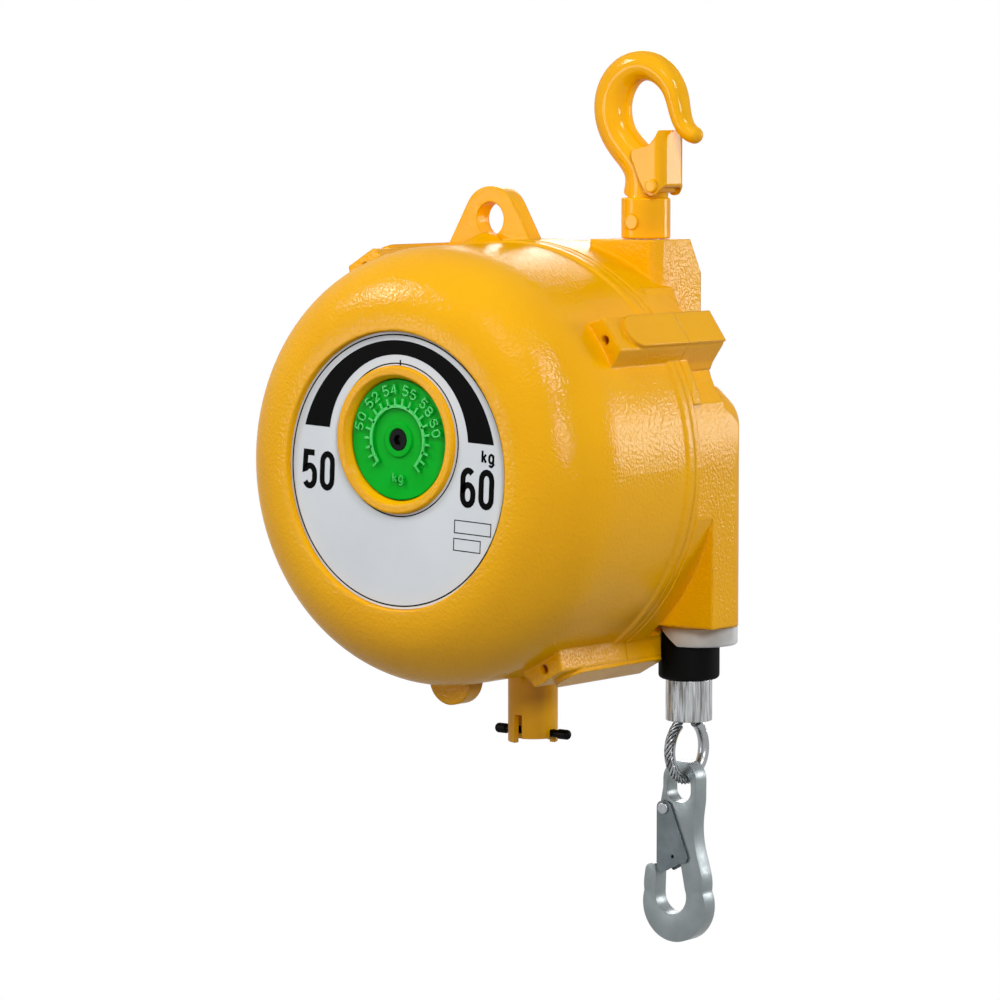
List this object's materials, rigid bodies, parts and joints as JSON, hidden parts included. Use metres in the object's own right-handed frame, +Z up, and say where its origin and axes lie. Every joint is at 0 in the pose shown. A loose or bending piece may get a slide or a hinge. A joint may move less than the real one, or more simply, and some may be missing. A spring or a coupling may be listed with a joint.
{
  "type": "spring tool balancer",
  "caption": "Spring balancer that hangs from a swivel hook and holds a tool on a wire rope, with a round cast case, load dial and drum lock.",
  "frame": {"origin": "saddle of the hanging hook, on its swivel axis", "axes": "+Z up against the load, -Y towards the dial, +X towards the side where the rope comes out"},
  "size_m": [0.2833, 0.217, 0.5794],
  "materials": {
    "yellow_enamel": "gloss enamel with a fine texture over aluminium castings",
    "yellow_paint": "gloss enamel on steel",
    "zinc_fastener": "zinc plated",
    "white_plate": "white printed plate, satin",
    "green_dial": "green moulded dial",
    "black_screw": "black oxide",
    "shaft_steel": "ground steel",
    "bronze": "machined",
    "cast_aluminium": "cast and machined",
    "spring_steel": "blued strip",
    "bearing_steel": "polished",
    "wire_rope": "galvanised strands",
    "white_nylon": "moulded nylon",
    "black_rubber": "satin",
    "pressed_aluminium": "pressed, streaked",
    "bright_zinc": "bright zinc",
    "grey_zinc": "dull zinc"
  },
  "bodies": {
    "housing": {"front_case": "yellow_enamel", "rear_housing": "yellow_enamel", "case_bolts": "zinc_fastener", "rear_cap": "yellow_enamel", "rear_cap_screws": "zinc_fastener", "scale_plate": "white_plate", "shaft_bushes": "bronze", "cable_guide": "white_nylon", "keeper_pins": "shaft_steel", "lock_sleeve": "yellow_enamel", "lock_spring": "spring_steel"},
    "dial_and_shaft": {"load_dial": "green_dial", "dial_screw": "black_screw", "main_shaft": "shaft_steel", "wheel_key": "shaft_steel", "worm_wheel": "bronze", "spring_arbor": "cast_aluminium", "bearing_inner_rings": "bearing_steel", "bearing_balls": "bearing_steel"},
    "worm": {"worm_shaft": "shaft_steel"},
    "drum": {"spring_case": "cast_aluminium", "spring_cover": "cast_aluminium", "cover_bush": "bronze", "mainspring": "spring_steel", "cable_drum": "cast_aluminium", "rope_anchor": "zinc_fastener", "drum_screws": "zinc_fastener", "bearing_outer_rings": "bearing_steel", "wound_rope": "wire_rope"},
    "rope_end": {"rope_run": "wire_rope", "rope_stopper": "black_rubber", "ferrule": "pressed_aluminium", "rope_eye": "wire_rope", "thimble": "bright_zinc"},
    "load_hook": {"lower_hook": "grey_zinc", "lower_latch_rivet": "bright_zinc"},
    "load_hook_latch": {"lower_latch": "grey_zinc"},
    "hanging_hook": {"top_hook": "yellow_paint", "swivel_collar": "yellow_paint", "collar_pin": "yellow_paint", "swivel_stud": "shaft_steel", "top_latch_rivet": "yellow_paint"},
    "hanging_hook_latch": {"top_latch": "yellow_paint"},
    "drum_lock": {"lock_plunger": "shaft_steel", "lock_handle": "shaft_steel", "lock_knobs": "black_rubber"}
  },
  "joints": [
    {"name": "drum_turn", "type": "hinge", "parent": "housing", "child": "drum", "pos_m": [-0.0596, 0, -0.2244], "axis": [0, 1, 0], "range_deg": [0, 853.46], "stiffness_Nm_per_rad": 0.05, "springref_deg": -63254.54},
    {"name": "rope_pull", "type": "slide", "parent": "housing", "child": "rope_end", "axis": [0, 0, -1], "range_m": [0, 1.5], "deforming": ["rope_run"]},
    {"name": "load_hook_swing", "type": "hinge", "parent": "rope_end", "child": "load_hook", "pos_m": [0.033, 0.0013, -0.4527], "axis": [0, 1, 0], "range_deg": [-30, 30]},
    {"name": "load_hook_latch_turn", "type": "hinge", "parent": "load_hook", "child": "load_hook_latch", "pos_m": [0.019, 0.0025, -0.4717], "axis": [0, 1, 0], "range_deg": [-25, 0], "stiffness_Nm_per_rad": 0.05, "springref_deg": 34.38},
    {"name": "hanging_hook_swivel", "type": "hinge", "parent": "housing", "child": "hanging_hook", "pos_m": [0, 0, -0.1], "axis": [0, 0, 1], "continuous": true},
    {"name": "hanging_hook_latch_turn", "type": "hinge", "parent": "hanging_hook", "child": "hanging_hook_latch", "pos_m": [0.0141, 0, -0.0673], "axis": [0, 1, 0], "range_deg": [-30, 0], "stiffness_Nm_per_rad": 0.08, "springref_deg": 34.38},
    {"name": "load_setting", "type": "hinge", "parent": "housing", "child": "dial_and_shaft", "pos_m": [-0.0596, 0, -0.2244], "axis": [0, 1, 0], "range_deg": [-75, 75]},
    {"name": "worm_turn", "type": "hinge", "parent": "housing", "child": "worm", "pos_m": [-0.0596, -0.161, -0.2782], "axis": [1, 0, 0], "range_deg": [-2850, 2850]},
    {"name": "lock_pull", "type": "slide", "parent": "housing", "child": "drum_lock", "axis": [0, 0, -1], "range_m": [0, 0.006], "stiffness_N_per_m": 800, "springref_m": -0.01, "deforming": ["lock_spring"]}
  ],
  "couplings": [
    {"joint": "rope_pull", "follows": "drum_turn", "m_per_rad": 0.1007},
    {"joint": "worm_turn", "follows": "load_setting", "ratio": -38}
  ]
}
